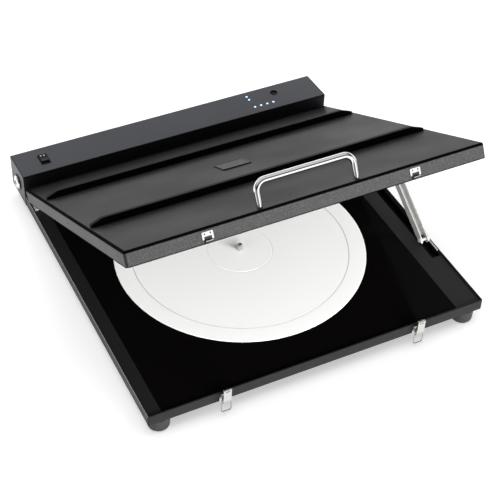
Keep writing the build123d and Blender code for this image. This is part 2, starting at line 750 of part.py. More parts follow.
pieces = {
    "base_pan": base_pan(),
    "deck_frame": deck_frame(),
    "insulation_pad": insulation_pad(),
    "heater_plate": heater_plate(),
    "deck_panel": deck_panel(),
    "strip_left": strip_left(),
    "strip_right": strip_right(),
    "stay_liner": stay_liner(),
    "platter_disc": platter_disc(),
    "spindle": spindle(),
    "foot_front_left": foot(-foot_x, foot_front_y),
    "foot_front_right": foot(foot_x, foot_front_y),
    "foot_rear_left": foot(-foot_x, foot_rear_y),
    "foot_rear_right": foot(foot_x, foot_rear_y),
    "housing_cover": housing_cover(),
    "switch_frame": switch_frame(),
    "rocker": rocker(),
    "button_frame": button_frame(),
    "start_button": start_button(),
    "inlet_bush": inlet_bush(),
    "inlet_core": inlet_core(),
    "lid_shell": lid_shell(),
    "platen": platen(),
    "platen_core_front": platen_core(False),
    "platen_core_rear": platen_core(True),
    "rib_front": rib(rib_backs[0]),
    "rib_rear": rib(rib_backs[1]),
    "handle": handle(),
    "badge_plate": badge_plate(),
    "stay_bracket": stay_bracket(),
    "stay_pivot": stay_pivot(),
    "stay_arm": stay_arm(),
    "stay_hanger": stay_hanger(),
    "stay_glide": stay_glide(),
}
for number, place in enumerate(lamp_places, 1):
    pieces[f"lamp_{number}"] = lamp(*place)
for name, side in (("left", -1), ("right", 1)):
    pieces[f"hinge_bracket_{name}"] = hinge_bracket(side)
    pieces[f"hinge_pin_{name}"] = hinge_pin_rod(side)
    pieces[f"hinge_leaf_{name}"] = hinge_leaf(side)
    pieces[f"handle_nut_{name}"] = handle_nut(side)
    pieces[f"strike_{name}"] = strike(side)
    pieces[f"latch_bracket_{name}"] = latch_bracket(side)
    pieces[f"latch_pin_{name}"] = latch_pin(side)
    pieces[f"lever_{name}"] = lever(side)
    pieces[f"bail_{name}"] = bail(side)

# The origin lies under the middle of the open press, on the floor.
boxes = [piece.bounding_box() for piece in pieces.values()]
origin = [(min(tuple(b.min)[i] for b in boxes) + max(tuple(b.max)[i] for b in boxes)) / 2 for i in (0, 1)]
shift = Pos(-origin[0], -origin[1], 0)
for name, piece in pieces.items():
    export_step(shift * piece, f"parts/{name}.step")
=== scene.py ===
import math
import bpy
import numpy as np
from mathutils import Matrix


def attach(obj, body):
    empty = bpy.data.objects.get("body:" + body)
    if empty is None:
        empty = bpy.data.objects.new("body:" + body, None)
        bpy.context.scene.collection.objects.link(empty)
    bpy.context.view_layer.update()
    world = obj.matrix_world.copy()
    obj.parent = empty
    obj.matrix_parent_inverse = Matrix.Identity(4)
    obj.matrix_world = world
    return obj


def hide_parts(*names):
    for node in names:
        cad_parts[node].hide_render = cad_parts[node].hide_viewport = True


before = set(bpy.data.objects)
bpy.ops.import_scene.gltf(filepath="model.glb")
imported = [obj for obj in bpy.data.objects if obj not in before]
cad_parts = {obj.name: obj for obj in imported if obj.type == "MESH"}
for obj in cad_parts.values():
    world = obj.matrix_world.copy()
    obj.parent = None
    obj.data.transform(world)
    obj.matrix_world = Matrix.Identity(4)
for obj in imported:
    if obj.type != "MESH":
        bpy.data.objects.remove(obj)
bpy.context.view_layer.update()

# ---- The room the press stands in ----
# A pale floor that runs up into a white backdrop. Soft lamps in front, at the left and behind
# light the press alone, and one overhead lights the floor alone. The camera looks down from the
# front left.
scene = bpy.context.scene
scene.view_settings.view_transform = "Standard"

look = bpy.data.cameras.new("camera")
look.sensor_width, look.lens = 36.0, 95.745
look.clip_start, look.clip_end = 0.05, 30.0
look.dof.use_dof = False
camera = bpy.data.objects.new("camera", look)
scene.collection.objects.link(camera)
# where the camera stands, in metres, and which ways its right, its lower side and its aim point
eye = (-0.5638032, -1.1228566, 1.1804246)
to_right, to_ground, ahead = np.array([[0.89812835, -0.43899698, 0.02543859],
                                       [-0.28259371, -0.62053607, -0.73148875],
                                       [0.33690691, 0.64978199, -0.68137882]])
stand = np.eye(4)
stand[:3, 0], stand[:3, 1], stand[:3, 2], stand[:3, 3] = to_right, -to_ground, -ahead, eye
camera.matrix_world = Matrix(stand.tolist())
scene.camera = camera


def soft_light(name, at, target, size, watts):
    """Rectangular lamp at a place, turned so that it shines at the target: its Z points back from
    the target, and its X is square to that and to the upright, or to Y where it hangs overhead."""
    data = bpy.data.lights.new(name, "AREA")
    data.shape, data.size, data.size_y = "RECTANGLE", size[0], size[1]
    data.energy = watts
    lamp = bpy.data.objects.new(name, data)
    scene.collection.objects.link(lamp)
    back = np.array(at, float) - np.array(target, float)
    back /= np.linalg.norm(back)
    right = np.cross((0.0, 1.0, 0.0) if abs(back[2]) > 0.95 else (0.0, 0.0, 1.0), back)
    right /= np.linalg.norm(right)
    turn = np.eye(4)
    turn[:3, 0], turn[:3, 1], turn[:3, 2], turn[:3, 3] = right, np.cross(back, right), back, at
    lamp.matrix_world = Matrix(turn.tolist())
    return lamp


front_light = soft_light("front", (0.55, -2.25, 0.77), (0.0, 0.0, 0.06), (2.6, 0.9), 172.0)
left_light = soft_light("left", (-2.2, -1.0, 0.55), (0.0, 0.0, 0.06), (1.5, 0.8), 22.0)
card_light = soft_light("card", (0.95, -2.3, 0.62), (0.0, 0.0, 0.15), (1.5, 0.8), 5.0)
rear_light = soft_light("rear", (0.3, 2.3, 1.7), (0.0, 0.0, 0.1), (2.6, 1.2), 54.0)
floor_light = soft_light("over_floor", (0.0, 0.0, 2.6), (0.0, 0.0, 0.0), (3.0, 3.0), 64.0)
# only the card is seen in gloss
for lamp in (front_light, left_light, rear_light):
    lamp.visible_glossy = False


def wired(tree, kind, inputs=(), out=0, **settings):
    """Output of a new shader node of a kind. Each input, by name or number, gets its value, or a
    link where the value is another node's output."""
    made = tree.nodes.new(f"ShaderNode{kind}")
    for setting, value in settings.items():
        setattr(made, setting, value)
    for socket, value in dict(inputs).items():
        if isinstance(value, bpy.types.NodeSocket):
            tree.links.new(value, made.inputs[socket])
        else:
            made.inputs[socket].default_value = value
    return made.outputs[out] if len(made.outputs) else None


def shown_rays(tree):
    """1 for the rays that show what they meet and 0 for the others: first with the rays in gloss
    counted in, then for the straight ones and those through glass alone."""
    rays = wired(tree, "LightPath").node.outputs
    straight = wired(tree, "Math", {0: rays["Is Camera Ray"], 1: rays["Is Transmission Ray"]},
                     operation="MAXIMUM")
    any_way = wired(tree, "Math", {0: straight, 1: rays["Is Glossy Ray"]}, operation="MAXIMUM")
    return any_way, straight


def ramped(tree, value, start, end, first=0.0, last=1.0):
    """Number that runs from first to last as the value runs from start to end, and stays there."""
    return wired(tree, "MapRange", {"Value": value, "From Min": start, "From Max": end,
                                    "To Min": first, "To Max": last})


room = bpy.data.worlds.new("room")
scene.world = room
room.use_nodes = True
air = room.node_tree
air.nodes.clear()
# white walls that light less towards the ceiling and the front; in gloss they show white at the
# horizon, dark above it and pale overhead; plain white where they are looked at
shown, shown_straight = shown_rays(air)
direction = wired(air, "TexCoord", out="Generated")
towards = wired(air, "SeparateXYZ", {"Vector": direction}).node.outputs
ceiling = ramped(air, towards["Z"], 0.30, 0.85, 1.0, 0.08)
front = ramped(air, towards["Y"], -0.70, -0.25, 0.25, 1.0)
in_gloss = wired(air, "ValToRGB", {"Fac": towards["Z"]})
gloss_stops = in_gloss.node.color_ramp.elements
gloss_shades = ((0.30, 1.0), (0.44, 0.10), (0.60, 0.10), (0.78, 0.72))
for rise, grey in gloss_shades[1:3]:
    gloss_stops.new(rise)
for stop, (rise, grey) in zip(gloss_stops, gloss_shades):
    stop.position, stop.color = rise, (grey, grey, grey, 1.0)
seen = wired(air, "Mix", {0: shown, 2: ceiling, 3: in_gloss})
bright = wired(air, "Math", {0: seen, 1: front}, operation="MULTIPLY")
bright = wired(air, "Math", {0: bright, 1: shown_straight}, operation="MAXIMUM")
walls = wired(air, "Background", {"Color": (1.0, 1.0, 1.0, 1.0), "Strength": bright})
wired(air, "OutputWorld", {"Surface": walls})


def solid(name, points, faces, paint, crease=35.0):
    """Object from a point array and face lists, smooth except where two faces meet sharper than the
    crease; each point's normal leans to the largest faces round it, so that flats stay flat."""
    mesh = bpy.data.meshes.new(name)
    mesh.from_pydata(np.asarray(points, float).reshape(-1, 3).tolist(), [], faces)
    mesh.update()
    mesh.polygons.foreach_set("use_smooth", np.ones(len(mesh.polygons), bool))
    mesh.set_sharp_from_angle(angle=math.radians(crease))
    mesh.materials.append(paint)
    thing = bpy.data.objects.new(name, mesh)
    scene.collection.objects.link(thing)
    flats = thing.modifiers.new("flats", "WEIGHTED_NORMAL")
    flats.keep_sharp, flats.weight = True, 90
    return thing


# matt, and as white as the walls where it is looked at, most of all far from the press
floor_paint = bpy.data.materials.new("floor_paint")
floor_paint.use_nodes = True
ground = floor_paint.node_tree
ground.nodes.clear()
away = wired(ground, "VectorMath", {0: wired(ground, "TexCoord", out="Object")}, "Value",
             operation="LENGTH")
whiter = ramped(ground, away, 0.45, 1.6, 0.50, 1.0)
lifted = wired(ground, "Math", {0: shown_rays(ground)[0], 1: whiter}, operation="MULTIPLY")
floor_lift = wired(ground, "Emission", {"Color": (1.0, 1.0, 1.0, 1.0), "Strength": lifted})
floor_matt = wired(ground, "BsdfDiffuse", {"Color": (0.80, 0.80, 0.80, 1.0)})
floor_both = wired(ground, "AddShader", {0: floor_matt, 1: floor_lift})
wired(ground, "OutputMaterial", {"Surface": floor_both})

# a square that bends up at the back, just under the feet
floor_reach, floor_rise, floor_gap, flat_share = 6.0, 5.0, 0.0004, 0.6
across_floor, along_floor = np.meshgrid(np.linspace(-floor_reach, floor_reach, 9),
                                        np.linspace(0.0, 1.0, 41), indexing="ij")
bend = np.clip(along_floor - flat_share, 0.0, 1.0 - flat_share) / (1.0 - flat_share)
floor_y = -floor_reach + along_floor * 2 * floor_reach
floor_z = -floor_gap + floor_rise * bend**3
floor_points = np.stack([across_floor, floor_y, floor_z], axis=-1)
rows, columns = across_floor.shape
corner = (np.arange(rows - 1)[:, None] * columns + np.arange(columns - 1)).ravel()
floor_faces = np.stack([corner, corner + columns, corner + columns + 1, corner + 1], axis=-1)
floor = solid("floor", floor_points, floor_faces.tolist(), floor_paint)
for lamp in (front_light, left_light, card_light, rear_light, floor_light):
    lit = bpy.data.collections.new(f"lit_by_{lamp.name}")
    lit.objects.link(floor)
    lit.collection_objects[0].light_linking.link_state = (
        "INCLUDE" if lamp == floor_light else "EXCLUDE")
    lamp.light_linking.receiver_collection = lit

# ---- Base tray ----
# A shallow tray folded from sheet steel, welded at the corners and powder coated black. Its flat
# rim stands a little above the deck. Six screws in its floor hold the deck's ledge from below.
leftwards, rightwards, rearwards = (-1, 0, 0), (1, 0, 0), (0, 1, 0)
downwards, upwards = (0, 0, -1), (0, 0, 1)
base_offset = (1.5, -228.6, 0.0)


def place(points):
    """Millimetres from the base's middle, its front face and the floor, as metres in the model's
    frame: the offset is added and the sum divided by a thousand."""
    return (np.asarray(points, float) + base_offset) / 1000.0


def eased(corners, radius, steps, closed=True):
    """Line with its corners rounded: at each corner an arc of the radius, tangent to both runs."""
    c = np.asarray(corners, float)
    inward, outward = c - np.roll(c, 1, 0), np.roll(c, -1, 0) - c
    inward /= np.maximum(np.linalg.norm(inward, axis=1, keepdims=True), 1e-12)
    outward /= np.maximum(np.linalg.norm(outward, axis=1, keepdims=True), 1e-12)
    turn = np.arccos(np.clip((inward * outward).sum(1), -1, 1))[:, None]
    radius = np.broadcast_to(np.asarray(radius, float).reshape(-1, 1), turn.shape).copy()
    if not closed:
        turn[[0, -1]] = 0.0
        radius[[0, -1]] = 0.0
    side = (outward - np.cos(turn) * inward) / np.maximum(np.sin(turn), 1e-9)
    start = c - radius * np.tan(turn / 2) * inward
    angle = (turn * np.linspace(0, 1, steps + 1))[:, :, None]
    arcs = start[:, None] + radius[:, :, None] * (np.sin(angle) * inward[:, None]
                                                  + (1 - np.cos(angle)) * side[:, None])
    if not closed:
        return np.concatenate([c[:1], arcs[1:-1].reshape(-1, c.shape[1]), c[-1:]])
    return arcs.reshape(-1, c.shape[1])


def woven(rings, along=False):
    """Quads over a grid of rings, one ring a row, closed round each ring. The last ring is joined
    to the first where the piece closes along too, and else a face covers each end."""
    count, size = rings.shape[:2]
    i = np.arange(count if along else count - 1)[:, None]
    j = np.arange(size)[None, :]
    i2, j2 = (i + 1) % count, (j + 1) % size
    quads = np.stack([i * size + j, i * size + j2, i2 * size + j2, i2 * size + j], axis=-1)
    faces = quads.reshape(-1, 4).tolist()
    if not along:
        faces.append(np.arange(size)[::-1].tolist())
        faces.append((np.arange(size) + (count - 1) * size).tolist())
    return faces


def plate(outline, profile, axes=(rightwards, rearwards, upwards), origin=(0, 0, 0)):
    """Rings of a plate: for each (inset, height) of the profile, the outline drawn in by the
    inset, at the height. The outline is a function of the inset; the axes are the plate's own."""
    u, v, w = np.asarray(axes, float)
    rings = [outline(inset)[:, :1] * u + outline(inset)[:, 1:] * v + height * w
             for inset, height in profile]
    return np.stack(rings) + np.asarray(origin, float)


def shader_inputs(paint):
    """Sockets of a material's own shader."""
    return paint.node_tree.nodes["Principled BSDF"].inputs


def finish(name, colour, rough, metal=0.0, **sockets):
    """Material with one glossy shader; the uniform values are set on the shader itself."""
    paint = bpy.data.materials.new(name)
    paint.use_nodes = True
    values = {"Base Color": (*colour, 1.0), "Roughness": rough, "Metallic": metal, **sockets}
    for socket, value in values.items():
        shader_inputs(paint)[socket.replace("_", " ")].default_value = value
    return paint


def pattern(paint, scale, detail, stretch=(1, 1, 1)):
    """Value of a noise over the object's own coordinates, stretched along its axes."""
    tree = paint.node_tree
    where = wired(tree, "TexCoord", out="Object")
    drawn_out = wired(tree, "Mapping", {"Vector": where, "Scale": stretch})
    return wired(tree, "TexNoise", {"Vector": drawn_out, "Scale": scale, "Detail": detail}, "Fac")


def tinted(paint, value, dark, pale, low=0.3, high=0.7):
    """Base colour that runs from a dark to a pale shade as the value runs from low to high."""
    shade = wired(paint.node_tree, "ValToRGB", {"Fac": value})
    for stop, position, colour in zip(shade.node.color_ramp.elements, (low, high), (dark, pale)):
        stop.position, stop.color = position, (*colour, 1.0)
    paint.node_tree.links.new(shade, shader_inputs(paint)["Base Color"])


def polished(paint, value, smooth, dull):
    """Roughness that runs from smooth to dull as the pattern's value runs from 0.3 to 0.7."""
    rough = ramped(paint.node_tree, value, 0.3, 0.7, smooth, dull)
    paint.node_tree.links.new(rough, shader_inputs(paint)["Roughness"])


def raised(paint, value, height, strength):
    """Bump from the pattern's value, in metres; a second one adds to the first."""
    normal = shader_inputs(paint)["Normal"]
    inputs = {"Height": value, "Distance": height, "Strength": strength}
    if normal.is_linked:
        inputs["Normal"] = normal.links[0].from_socket
    paint.node_tree.links.new(wired(paint.node_tree, "Bump", inputs), normal)


def powder_coat(name, dark, pale, rough, grain=0.00006, specular=0.5):
    """Baked powder paint: a fine orange-peel grain, a slightly uneven shade and uneven gloss."""
    paint = finish(name, pale, rough, Specular_IOR_Level=specular)
    tinted(paint, pattern(paint, 1100.0, 2.0), dark, pale, 0.35, 0.65)
    polished(paint, pattern(paint, 9.0, 4.0), rough - 0.05, rough + 0.06)
    raised(paint, pattern(paint, 1500.0, 2.0), grain, 0.55)
    raised(paint, pattern(paint, 260.0, 3.0), grain * 1.6, 0.25)
    return paint


def from_point(paint, point):
    """Way to the surface from a point that is given in millimetres."""
    where = wired(paint.node_tree, "TexCoord", out="Object")
    return wired(paint.node_tree, "VectorMath", {0: where, 1: place(point)}, operation="SUBTRACT")


def beyond(paint, direction, point, soft=0.4):
    """1 where the surface lies further along a direction than a point in millimetres, 0 where it
    falls short of it by more than the soft width."""
    reach = wired(paint.node_tree, "VectorMath", {0: from_point(paint, point), 1: direction},
                  "Value", operation="DOT_PRODUCT")
    return ramped(paint.node_tree, reach, -soft / 1000.0, 0.0)


def joined(paint, rule, *values):
    """Values put together by one rule of arithmetic, such as MAXIMUM for any, MINIMUM for all."""
    total = values[0]
    for value in values[1:]:
        total = wired(paint.node_tree, "Math", {0: total, 1: value}, operation=rule)
    return total


def at_sides(paint, half, soft=0.4):
    """1 further out than half a width, at the left and at the right alike."""
    return joined(paint, "MAXIMUM", beyond(paint, leftwards, (-half, 0, 0), soft),
                  beyond(paint, rightwards, (half, 0, 0), soft))


def shaded(paint, mask, colour):
    """Base colour that changes to another colour where the mask is 1."""
    base = shader_inputs(paint)["Base Color"]
    mixed = wired(paint.node_tree, "Mix", {0: mask, 6: base.links[0].from_socket,
                                           7: (*colour, 1.0)}, 2, data_type="RGBA")
    paint.node_tree.links.new(mixed, base)


def add(name, rings, paint, body, stands_for=(), crease=35.0, along=False):
    """Piece from rings of points in millimetres, that rides on a body and stands for the nodes it
    is given."""
    piece = solid(name, place(rings), woven(rings, along), paint, crease)
    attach(piece, body)
    if stands_for:
        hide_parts(*stands_for)


tray_low, tray_rim, tray_floor = 19.0, 34.0, 20.5
tray_back, step_back, tray_half, step_half = 464.6, 412.8, 222.0, 221.1
tray_paint = powder_coat("tray_paint", (0.006, 0.006, 0.0063), (0.014, 0.014, 0.0145), 0.42,
                         specular=0.16)
# painted shade darkens the flat of the rim and the two sides, and a painted highlight runs pale
# along the sides' outer edges
shaded(tray_paint, beyond(tray_paint, upwards, (0, 0, tray_rim - 0.06), 0.05),
       (0.007, 0.007, 0.0073))
shaded(tray_paint, at_sides(tray_paint, step_half - 0.05, 0.05), (0.0035, 0.0035, 0.0037))
edge_highlight = joined(tray_paint, "MINIMUM", at_sides(tray_paint, tray_half - 0.5, 0.3),
                   beyond(tray_paint, upwards, (0, 0, tray_rim - 0.6), 0.3))
shaded(tray_paint, edge_highlight, (0.22, 0.22, 0.225))


def tray_outline(inset):
    """The tray from above: round front corners, and a small step in where the housing begins."""
    wide, slim = tray_half - inset, step_half - inset
    step, back = step_back - inset, tray_back - inset
    corners = [(-wide, inset), (wide, inset), (wide, step), (slim, step),
               (slim, back), (-slim, back), (-slim, step), (-wide, step)]
    return eased(corners, 2 * (max(2.5 - inset, 0.3),) + 6 * (0.02,), 6)


tray_profile = [(0.9, tray_low), (0.35, tray_low + 0.1), (0.0, tray_low + 0.6),
                (0.0, tray_rim - 0.8), (0.12, tray_rim - 0.35), (0.4, tray_rim - 0.1),
                (0.8, tray_rim), (1.9, tray_rim), (2.2, tray_rim - 0.12), (2.4, tray_rim - 0.5),
                (2.4, tray_floor)]
add("tray", plate(tray_outline, tray_profile), tray_paint, "base", ["base_pan"])

bright_steel = finish("bright_steel", (0.62, 0.62, 0.61), 0.24, 1.0)
polished(bright_steel, pattern(bright_steel, 420.0, 3.0), 0.18, 0.34)
raised(bright_steel, pattern(bright_steel, 900.0, 2.0), 0.00002, 0.4)


def turned(profile, centre=(0, 0, 0), axis=upwards, start=rightwards, steps=20):
    """Rings of a turned piece: each (radius, height) of the profile goes once round the axis."""
    w, u = np.asarray(axis, float), np.asarray(start, float)
    w = w / np.linalg.norm(w)
    u = u - (u @ w) * w
    u /= np.linalg.norm(u)
    angle = np.linspace(0, 2 * np.pi, steps, endpoint=False)[None, :, None]
    r, h = np.asarray(profile, float).T[:, :, None, None]
    spoke = np.cos(angle) * u + np.sin(angle) * np.cross(w, u)
    return np.asarray(centre, float) + r * spoke + h * w


def scattered(name, rings, spots, paint, body):
    """Several like small pieces in one mesh: the same rings round each spot, closed at both ends,
    all in millimetres. Each piece's faces count on from the points of those before it."""
    each, spots = rings.reshape(-1, 3) / 1000.0, place(spots)
    points = spots[:, None] + each
    faces = [(np.array(face) + number * len(each)).tolist()
             for number in range(len(spots)) for face in woven(rings)]
    piece = solid(name, points, faces, paint)
    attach(piece, body)


# pan head of a small machine screw with a driver recess: (radius, height) from rim to middle
screw_head = [(0.02, -0.4), (2.6, -0.4), (2.75, 0.0), (2.7, 0.35), (2.3, 0.95), (1.5, 1.35),
              (1.15, 1.42), (1.0, 1.3), (0.75, 0.7), (0.02, 0.65)]
tray_screw_columns, tray_screw_rows = (-214.0, 0.0, 181.0), (60.0, 360.0)
scattered("tray_screws", turned(screw_head, axis=downwards),
          [(x, y, tray_low) for x in tray_screw_columns for y in tray_screw_rows], bright_steel,
          "base")

# ---- Feet ----
# Four turned rubber feet with a soft edge where they stand, each held by a screw up through a
# washer in its middle.
rubber = finish("rubber", (0.035, 0.035, 0.036), 0.62)
tinted(rubber, pattern(rubber, 350.0, 4.0), (0.014, 0.014, 0.0145), (0.027, 0.027, 0.028))
polished(rubber, pattern(rubber, 60.0, 3.0), 0.52, 0.74)
raised(rubber, pattern(rubber, 1300.0, 2.0), 0.00005, 0.6)

sides = (("left", -1), ("right", 1))
foot_half, foot_rows = 204.0, (("front", 14.0), ("rear", 448.0))
foot_profile = [(4.4, 9.0), (4.5, 8.6), (4.5, 0.5), (4.9, 0.0), (10.2, 0.0), (11.4, 0.2),
                (12.3, 0.75), (12.9, 1.6), (13.25, 2.7), (14.1, 17.1), (14.25, 17.9),
                (14.25, 18.5), (14.05, 18.9), (13.6, 19.0)]
for row, y in foot_rows:
    for side_name, sx in sides:
        add(f"rubber_foot_{row}_{side_name}",
            turned(foot_profile, (sx * foot_half, y, 0.0), steps=48), rubber, "base",
            [f"foot_{row}_{side_name}"], 40.0)
foot_washer = [(0.02, 9.2), (4.3, 9.2), (4.4, 9.0), (4.4, 8.0), (2.8, 7.9), (2.6, 7.2),
               (1.6, 6.8), (1.3, 6.9), (1.0, 7.6), (0.02, 7.6)]
scattered("foot_screws", turned(foot_washer, steps=24)[::-1],
          [(sx * foot_half, y, 0.0) for _, sx in sides for _, y in foot_rows], bright_steel,
          "base")

# ---- Heating plate, board and ledge under the deck ----
# An aluminium plate with a heating mat lies on an insulating fibre board, inside a ledge of steel
# bars that carries the deck. All are hidden once the deck is on.
raw_aluminium = finish("raw_aluminium", (0.60, 0.60, 0.60), 0.38, 1.0)
polished(raw_aluminium, pattern(raw_aluminium, 30.0, 4.0, (1, 12, 1)), 0.30, 0.46)
raised(raw_aluminium, pattern(raw_aluminium, 90.0, 3.0, (1, 14, 1)), 0.00003, 0.4)
ledge_steel = finish("ledge_steel", (0.42, 0.42, 0.42), 0.42, 1.0)
tinted(ledge_steel, pattern(ledge_steel, 45.0, 5.0), (0.34, 0.34, 0.34), (0.50, 0.50, 0.49))
polished(ledge_steel, pattern(ledge_steel, 120.0, 4.0), 0.34, 0.52)
fibre_board = finish("fibre_board", (0.42, 0.38, 0.30), 0.85)
tinted(fibre_board, pattern(fibre_board, 260.0, 5.0, (1, 4, 1)), (0.33, 0.29, 0.22),
       (0.50, 0.46, 0.37))
raised(fibre_board, pattern(fibre_board, 500.0, 3.0, (1, 5, 1)), 0.00015, 0.6)


def dress(node, paint):
    """Gives a node of the model its material."""
    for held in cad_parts[node].material_slots:
        held.material = paint


dress("heater_plate", raw_aluminium)
dress("deck_frame", ledge_steel)
for node in ("insulation_pad", "platen_core_front", "platen_core_rear"):
    dress(node, fibre_board)

# ---- Deck, side strips and slot ----
# A gloss black glass deck carries the disc. Satin painted strips fill the tray on both sides, the
# right one with the slot that the stay folds into, lined with a black folded channel.
deck_gloss = finish("deck_gloss", (0.0022, 0.0018, 0.0019), 0.09, Specular_IOR_Level=0.04)
polished(deck_gloss, pattern(deck_gloss, 14.0, 5.0), 0.07, 0.13)
raised(deck_gloss, pattern(deck_gloss, 40.0, 2.0), 0.00001, 0.1)
dress("deck_panel", deck_gloss)
strip_paint = powder_coat("strip_paint", (0.0080, 0.0080, 0.0085), (0.0122, 0.0122, 0.0128),
                          0.42, 0.00004, 0.2)
dress("strip_left", strip_paint)
dress("strip_right", strip_paint)
slot_black = powder_coat("slot_black", (0.0012, 0.0012, 0.0012), (0.0022, 0.0022, 0.0022),
                         0.6, 0.00003, 0.12)
dress("stay_liner", slot_black)

# ---- Disc and spindle ----
# A thin aluminium disc, baked white, with one fine groove near its edge and one round its middle.
# The spindle is turned and polished steel, with a domed end and an undercut above the disc.
disc_white = finish("disc_white", (0.87, 0.87, 0.855), 0.34)
tinted(disc_white, pattern(disc_white, 700.0, 3.0), (0.88, 0.88, 0.863), (0.90, 0.90, 0.885))
polished(disc_white, pattern(disc_white, 20.0, 5.0), 0.30, 0.40)
raised(disc_white, pattern(disc_white, 1400.0, 2.0), 0.00002, 0.3)
disc_centre = (-9.0, 206.5, 0.0)
disc_low, disc_top = 32.0, 33.0
outer_groove, inner_groove = 138.0, 41.2


def round_band(paint, centre, radius, half_width):
    """1 on a flat band round an upright axis through a centre, up to its half width to either side
    of its radius, and 0 beside it."""
    tree = paint.node_tree
    level = wired(tree, "VectorMath", {0: from_point(paint, centre), 1: (1.0, 1.0, 0.0)},
                  operation="MULTIPLY")
    reach = wired(tree, "VectorMath", {0: level}, "Value", operation="LENGTH")
    return wired(tree, "Math", {0: reach, 1: radius / 1000.0, 2: half_width / 1000.0},
                 operation="COMPARE")


# painted shade in the two grooves: the disc's colour is darker on a band over each
shaded(disc_white, round_band(disc_white, disc_centre, outer_groove, 0.55), (0.52, 0.52, 0.51))
shaded(disc_white, round_band(disc_white, disc_centre, inner_groove, 0.3), (0.78, 0.78, 0.77))


def groove(radius):
    """Profile of a shallow groove with round shoulders at a radius, from its outside inwards."""
    steps = ((0.55, 0.0), (0.38, 0.06), (0.28, 0.24), (0.0, 0.3),
             (-0.28, 0.24), (-0.38, 0.06), (-0.55, 0.0))
    return [(radius + outward, disc_top - depth) for outward, depth in steps]


disc_profile = [(3.05, disc_low), (159.7, disc_low), (159.95, disc_low + 0.2),
                (160.0, disc_low + 0.5), (159.92, disc_top - 0.2), (159.6, disc_top),
                *groove(outer_groove), *groove(inner_groove), (3.2, disc_top),
                (3.05, disc_top - 0.12)]
add("white_disc", turned(disc_profile, disc_centre, steps=192), disc_white, "base",
    ["platter_disc"], 50.0, along=True)

chrome = finish("chrome", (0.80, 0.80, 0.81), 0.08, 1.0)
polished(chrome, pattern(chrome, 55.0, 4.0), 0.04, 0.09)
pin_steel = finish("pin_steel", (0.44, 0.44, 0.43), 0.22, 0.75)
tinted(pin_steel, pattern(pin_steel, 400.0, 3.0), (0.39, 0.39, 0.38), (0.48, 0.48, 0.47))
polished(pin_steel, pattern(pin_steel, 300.0, 4.0), 0.16, 0.30)
pin_radius, pin_straight, dome_radius = 3.55, 40.3, 2.2
dome = np.linspace(0, np.pi / 2, 9)[1:]
spindle_profile = [(0.02, 29.0), (2.8, 29.0), (3.0, 29.2), (3.0, 33.2), (3.35, 33.2),
                   (pin_radius, 33.4), (pin_radius, pin_straight),
                   *zip(pin_radius - dome_radius + dome_radius * np.cos(dome),
                        pin_straight + dome_radius * np.sin(dome)),
                   (0.6, 42.5), (0.35, 42.3), (0.02, 42.25)]
add("record_pin", turned(spindle_profile, disc_centre, steps=40), pin_steel, "base", ["spindle"],
    40.0)

# ---- Control housing ----
# A folded steel cover across the back, powder coated in a blue-black. Its side and back plates
# reach down over the tray and are fixed to it with countersunk screws.
cover_half, cover_back = 222.5, 466.0
panel_front, panel_height, panel_drop, panel_depth = 413.0, 67.0, 2.5, 53.0
panel_fall = math.atan2(panel_drop, panel_depth)
panel_up = np.array([0.0, math.sin(panel_fall), math.cos(panel_fall)])


def on_panel(x, y):
    """Point of the housing's sloping top over a place, in millimetres: the height at the front
    edge, less the way behind it times the drop over the depth."""
    return np.array([x, y, panel_height - (y - panel_front) * panel_drop / panel_depth])


def under_panel(paint, depth, soft):
    """1 on the housing's top and down to a depth under its front edge."""
    return beyond(paint, panel_up, on_panel(0, panel_front) - (0, 0, depth), soft)


def dulled(paint, mask, rough):
    """Roughness that changes to another where the mask is 1."""
    socket = shader_inputs(paint)["Roughness"]
    mixed = wired(paint.node_tree, "Mix", {0: mask, 2: socket.links[0].from_socket, 3: rough})
    paint.node_tree.links.new(mixed, socket)


housing_paint = powder_coat("housing_paint", (0.026, 0.0272, 0.034), (0.040, 0.0417, 0.051),
                            0.40, 0.00004, 0.4)
dress("housing_cover", housing_paint)
frontwards = (0, -1, 0)
# painted shade: the front face, which stands under the open lid, is painted darker and duller
front_face_shade = beyond(housing_paint, frontwards, (0, panel_front + 0.06, 0), 0.1)
shaded(housing_paint, front_face_shade, (0.003, 0.0033, 0.0042))
dulled(housing_paint, front_face_shade, 0.75)
# painted dark reflection on the folds: a wide line along the front of the top, and narrow ones down
# its two sides, painted dark and dull
front_fold = joined(housing_paint, "MINIMUM", under_panel(housing_paint, 2.4, 0.3),
                    beyond(housing_paint, frontwards, (0, panel_front + 0.5, 0), 0.2))
side_folds = joined(housing_paint, "MINIMUM", at_sides(housing_paint, cover_half - 0.6, 0.2),
                    under_panel(housing_paint, 0.9, 0.2))
housing_fold_shade = joined(housing_paint, "MAXIMUM", front_fold, side_folds)
shaded(housing_paint, housing_fold_shade, (0.0015, 0.0016, 0.0020))
dulled(housing_paint, housing_fold_shade, 0.9)

screw_black = finish("screw_black", (0.005, 0.005, 0.005), 0.35, 0.3)
polished(screw_black, pattern(screw_black, 600.0, 3.0), 0.28, 0.45)
flush_head = [(0.02, -0.3), (2.0, -0.3), (2.1, 0.0), (1.95, 0.12), (1.1, 0.22), (0.95, 0.05),
              (0.02, 0.0)]
cover_screw_height = 26.0
side_screw_rows, back_screw_columns = (421.0, 459.0), (-200.0, -70.0, 70.0, 200.0)
for side_name, sx in sides:
    scattered(f"cover_screws_{side_name}",
              turned(flush_head, axis=(sx, 0, 0), start=rearwards),
              [(sx * cover_half, y, cover_screw_height) for y in side_screw_rows], screw_black,
              "base")
scattered("cover_screws_back", turned(flush_head, axis=rearwards),
          [(x, cover_back, cover_screw_height) for x in back_screw_columns], screw_black,
          "base")

